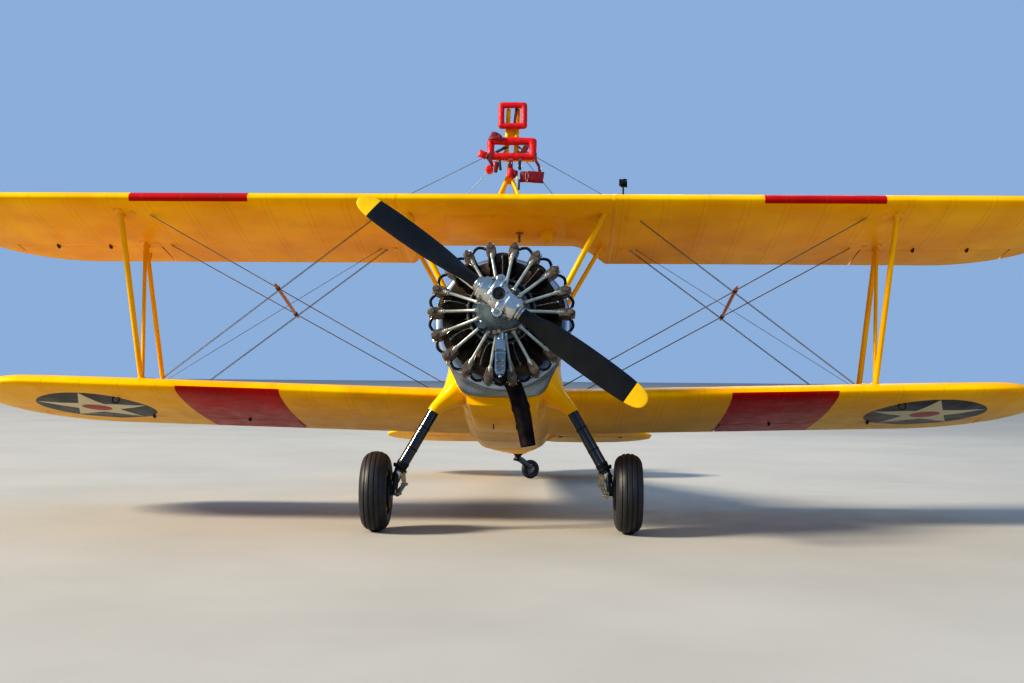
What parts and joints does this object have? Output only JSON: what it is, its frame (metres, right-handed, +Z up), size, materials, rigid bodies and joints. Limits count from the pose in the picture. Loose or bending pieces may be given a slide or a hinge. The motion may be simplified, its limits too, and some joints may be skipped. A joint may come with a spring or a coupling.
{
  "type": "two-seat training biplane with a wing-top standing frame",
  "caption": "Single-bay biplane on its gear: open radial engine, two open cockpits, turning propeller and wheels, hinged controls, standing frame on the upper wing.",
  "frame": {"origin": "middle of the footprint, on the ground under the three tyres", "axes": "+X to the aeroplane's left wing tip, +Y aft, +Z up; it stands tail down, nose 12 degrees up"},
  "size_m": [9.804, 7.6422, 3.7478],
  "materials": {
    "doped_fabric": "satin",
    "yellow_enamel": "gloss",
    "bare_aluminium": "satin",
    "cylinder_iron": "satin",
    "case_enamel": "satin",
    "exhaust_steel": "matte",
    "blade_black": "satin",
    "wire_steel": "satin",
    "leg_black": "gloss",
    "axle_steel": "satin",
    "tyre_rubber": "matte",
    "clear_screen": "gloss",
    "seat_leather": "satin",
    "rig_fabric": "matte"
  },
  "bodies": {
    "airframe": {"fuselage": "doped_fabric", "centre_section": "doped_fabric", "upper_wing_left": "doped_fabric", "upper_wing_right": "doped_fabric", "lower_wing_left": "doped_fabric", "lower_wing_right": "doped_fabric", "fin": "doped_fabric", "tailplane_left": "doped_fabric", "tailplane_right": "doped_fabric", "interplane_struts_left": "yellow_enamel", "interplane_struts_right": "yellow_enamel", "cabane_strut_front_left": "yellow_enamel", "cabane_strut_front_right": "yellow_enamel", "cabane_strut_rear_left": "yellow_enamel", "cabane_strut_rear_right": "yellow_enamel", "gear_fairing_left": "yellow_enamel", "gear_fairing_right": "yellow_enamel", "rig_mast": "yellow_enamel", "accessory_cowl": "bare_aluminium", "engine_cylinders": "cylinder_iron", "engine_nose_case": "case_enamel", "exhaust": "exhaust_steel", "rigging_left": "wire_steel", "rigging_right": "wire_steel", "gear_leg_left": "leg_black", "gear_leg_right": "leg_black", "tail_wheel_strut": "leg_black", "wing_camera": "leg_black", "axle_left": "axle_steel", "axle_right": "axle_steel", "windshield_front": "clear_screen", "windshield_rear": "clear_screen", "seat_front": "seat_leather", "seat_rear": "seat_leather", "rig_head_pad": "rig_fabric", "rig_waist_ring": "rig_fabric", "rig_hanging_pad": "rig_fabric"},
    "propeller": {"propeller_hub": "bare_aluminium", "propeller_blade_1": "blade_black", "propeller_blade_2": "blade_black"},
    "wheel_left": {"wheel_hub_left": "yellow_enamel", "tyre_left": "tyre_rubber"},
    "wheel_right": {"wheel_hub_right": "yellow_enamel", "tyre_right": "tyre_rubber"},
    "tail_caster": {"tail_wheel_fork": "leg_black"},
    "tail_wheel": {"tail_wheel_hub": "bare_aluminium", "tail_wheel_tyre": "tyre_rubber"},
    "aileron_lower_left": {"lower_aileron_left": "doped_fabric"},
    "aileron_lower_right": {"lower_aileron_right": "doped_fabric"},
    "aileron_upper_left": {"upper_aileron_left": "doped_fabric"},
    "aileron_upper_right": {"upper_aileron_right": "doped_fabric"},
    "aileron_link_left": {"aileron_link_left": "yellow_enamel"},
    "aileron_link_right": {"aileron_link_right": "yellow_enamel"},
    "rudder": {"rudder": "doped_fabric"},
    "elevator": {"elevator": "doped_fabric"}
  },
  "joints": [
    {"name": "wheel_left_spin", "type": "hinge", "parent": "airframe", "child": "wheel_left", "pos_m": [1.027, -2.85138, 0.325], "axis": [1, 0, 0], "continuous": true},
    {"name": "wheel_right_spin", "type": "hinge", "parent": "airframe", "child": "wheel_right", "pos_m": [-1.027, -2.85138, 0.325], "axis": [1, 0, 0], "continuous": true},
    {"name": "tail_wheel_swivel", "type": "hinge", "parent": "airframe", "child": "tail_caster", "pos_m": [0, 2.48288, 0.24], "axis": [0, 0, 1], "continuous": true},
    {"name": "tail_wheel_spin", "type": "hinge", "parent": "tail_caster", "child": "tail_wheel", "pos_m": [0.15, 2.55162, 0.113], "axis": [0.4166, -0.9091, 0], "continuous": true},
    {"name": "propeller_spin", "type": "hinge", "parent": "airframe", "child": "propeller", "pos_m": [0, -3.65041, 1.86065], "axis": [0, -0.9781, 0.2079], "continuous": true},
    {"name": "aileron_lower_left_hinge", "type": "hinge", "parent": "airframe", "child": "aileron_lower_left", "pos_m": [3.29839, -1.36041, 0.9178], "axis": [0.9997, 0.0068, 0.0253], "range_deg": [-20, 20]},
    {"name": "aileron_lower_right_hinge", "type": "hinge", "parent": "airframe", "child": "aileron_lower_right", "pos_m": [-3.29839, -1.36041, 0.9178], "axis": [0.9997, -0.0068, -0.0253], "range_deg": [-20, 20]},
    {"name": "aileron_upper_left_hinge", "type": "hinge", "parent": "airframe", "child": "aileron_upper_left", "pos_m": [3.3, -1.69258, 2.46865], "axis": [1, 0, 0], "range_deg": [-20, 20]},
    {"name": "aileron_upper_right_hinge", "type": "hinge", "parent": "airframe", "child": "aileron_upper_right", "pos_m": [-3.3, -1.69258, 2.46865], "axis": [1, 0, 0], "range_deg": [-20, 20]},
    {"name": "aileron_link_left_pin", "type": "hinge", "parent": "aileron_lower_left", "child": "aileron_link_left", "pos_m": [3.26531, -1.16628, 0.90821], "axis": [0.9997, 0.0068, 0.0253], "range_deg": [-22, 22]},
    {"name": "aileron_link_right_pin", "type": "hinge", "parent": "aileron_lower_right", "child": "aileron_link_right", "pos_m": [-3.26531, -1.16628, 0.90821], "axis": [0.9997, -0.0068, -0.0253], "range_deg": [-22, 22]},
    {"name": "rudder_hinge", "type": "hinge", "parent": "airframe", "child": "rudder", "pos_m": [0, 3.16309, 0.5361], "axis": [0, 0.2079, 0.9781], "range_deg": [-30, 30]},
    {"name": "elevator_hinge", "type": "hinge", "parent": "airframe", "child": "elevator", "pos_m": [0, 3.05977, 0.50694], "axis": [1, 0, 0], "range_deg": [-22, 28]}
  ],
  "couplings": [
    {"joint": "aileron_upper_left_hinge", "follows": "aileron_lower_left_hinge", "ratio": 1},
    {"joint": "aileron_lower_right_hinge", "follows": "aileron_lower_left_hinge", "ratio": -1},
    {"joint": "aileron_upper_right_hinge", "follows": "aileron_lower_left_hinge", "ratio": -1},
    {"joint": "aileron_link_left_pin", "follows": "aileron_lower_left_hinge", "ratio": -1.07},
    {"joint": "aileron_link_right_pin", "follows": "aileron_lower_left_hinge", "ratio": 1.07}
  ]
}
